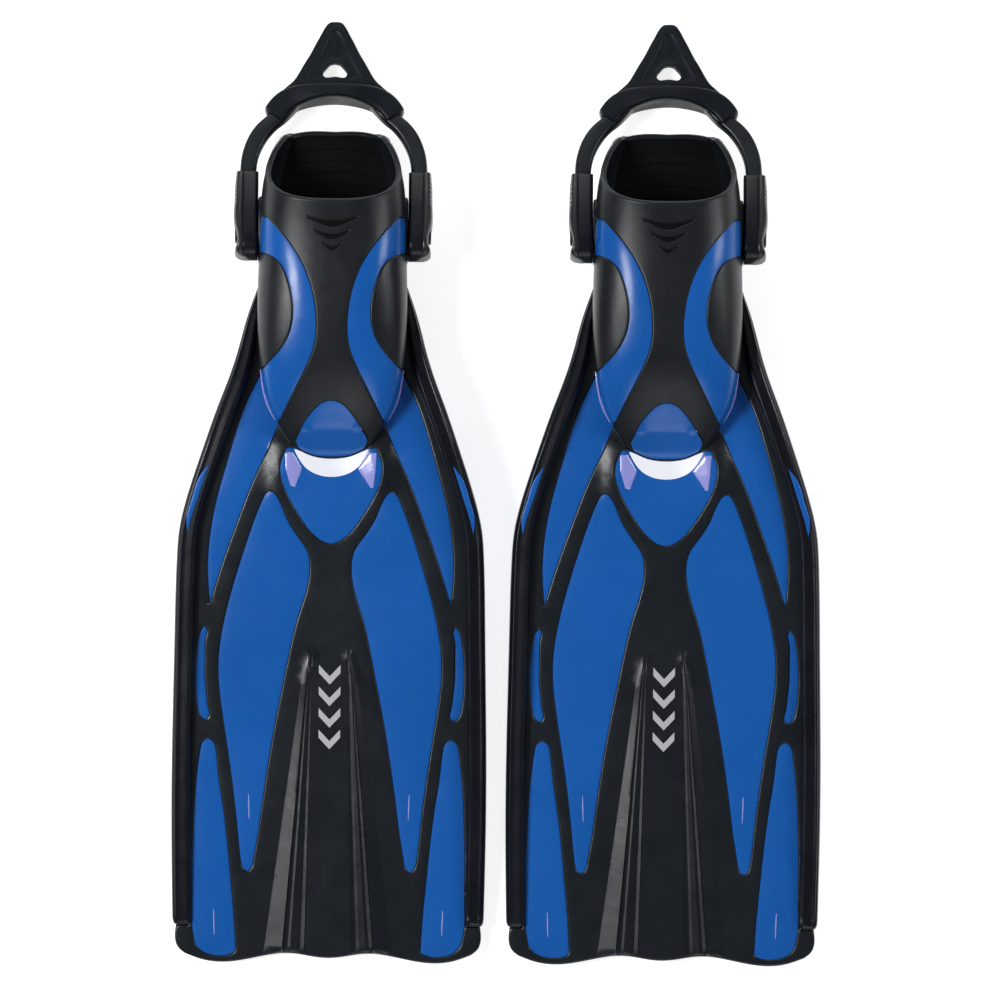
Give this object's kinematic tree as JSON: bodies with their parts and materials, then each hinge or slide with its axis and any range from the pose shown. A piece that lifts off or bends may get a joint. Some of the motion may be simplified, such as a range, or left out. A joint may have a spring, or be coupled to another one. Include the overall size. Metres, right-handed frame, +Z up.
{
  "type": "swim fins",
  "caption": "Pair of open-heel diving fins: rubber foot pocket on a ribbed, vented blade with side rails, and an elastic heel strap that swings on side buckles.",
  "frame": {"origin": "middle of the pair on the surface that it lies on", "axes": "+Y along the fins towards the heel straps, +X across the pair, +Z up"},
  "size_m": [0.4812, 0.6989, 0.0985],
  "materials": {
    "polymer_blue": "glossy blue technical polymer with a fine moulded skin",
    "rubber_black": "satin black overmoulded rubber",
    "polymer_black": "satin black polymer",
    "cover_black": "semi-gloss charcoal polymer",
    "tread_rubber": "matte ribbed sole rubber",
    "strap_rubber": "matte elastic rubber",
    "clip_steel": "brushed stainless steel"
  },
  "bodies": {
    "left_fin": {"left_blade_plate": "polymer_blue", "left_power_bands": "rubber_black", "left_underside_bands": "rubber_black", "left_rail_outer": "rubber_black", "left_rail_inner": "rubber_black", "left_rail_inserts": "polymer_blue", "left_pocket_frame": "polymer_blue", "left_foot_pocket": "rubber_black", "left_sole_plate": "polymer_black", "left_sole_tread": "tread_rubber", "left_strap_post_outer": "polymer_black", "left_strap_post_inner": "polymer_black", "left_post_clip_outer": "clip_steel", "left_post_clip_inner": "clip_steel"},
    "left_strap": {"left_buckle_outer": "polymer_black", "left_buckle_inner": "polymer_black", "left_buckle_cover_outer": "cover_black", "left_buckle_cover_inner": "cover_black", "left_strap_end_outer": "polymer_black", "left_strap_end_inner": "polymer_black", "left_strap": "strap_rubber"},
    "left_heel_pad": {"left_heel_pad": "strap_rubber"},
    "right_fin": {"right_blade_plate": "polymer_blue", "right_power_bands": "rubber_black", "right_underside_bands": "rubber_black", "right_rail_outer": "rubber_black", "right_rail_inner": "rubber_black", "right_rail_inserts": "polymer_blue", "right_pocket_frame": "polymer_blue", "right_foot_pocket": "rubber_black", "right_sole_plate": "polymer_black", "right_sole_tread": "tread_rubber", "right_strap_post_outer": "polymer_black", "right_strap_post_inner": "polymer_black", "right_post_clip_outer": "clip_steel", "right_post_clip_inner": "clip_steel"},
    "right_strap": {"right_buckle_outer": "polymer_black", "right_buckle_inner": "polymer_black", "right_buckle_cover_outer": "cover_black", "right_buckle_cover_inner": "cover_black", "right_strap_end_outer": "polymer_black", "right_strap_end_inner": "polymer_black", "right_strap": "strap_rubber"},
    "right_heel_pad": {"right_heel_pad": "strap_rubber"}
  },
  "joints": [
    {"name": "left_strap_swing", "type": "hinge", "parent": "left_fin", "child": "left_strap", "pos_m": [-0.1238, 0.19, 0.053], "axis": [1, 0, 0], "range_deg": [0, 120]},
    {"name": "left_heel_pull", "type": "slide", "parent": "left_strap", "child": "left_heel_pad", "axis": [0, 1, 0], "range_m": [0, 0.035], "stiffness_N_per_m": 350, "deforming": ["left_strap"]},
    {"name": "right_strap_swing", "type": "hinge", "parent": "right_fin", "child": "right_strap", "pos_m": [0.1238, 0.19, 0.053], "axis": [1, 0, 0], "range_deg": [0, 120]},
    {"name": "right_heel_pull", "type": "slide", "parent": "right_strap", "child": "right_heel_pad", "axis": [0, 1, 0], "range_m": [0, 0.035], "stiffness_N_per_m": 350, "deforming": ["right_strap"]},
    {"name": "right_fin_lift", "type": "slide", "parent": "left_fin", "child": "right_fin", "axis": [0, 0, 1], "range_m": [0, 0.3]}
  ]
}
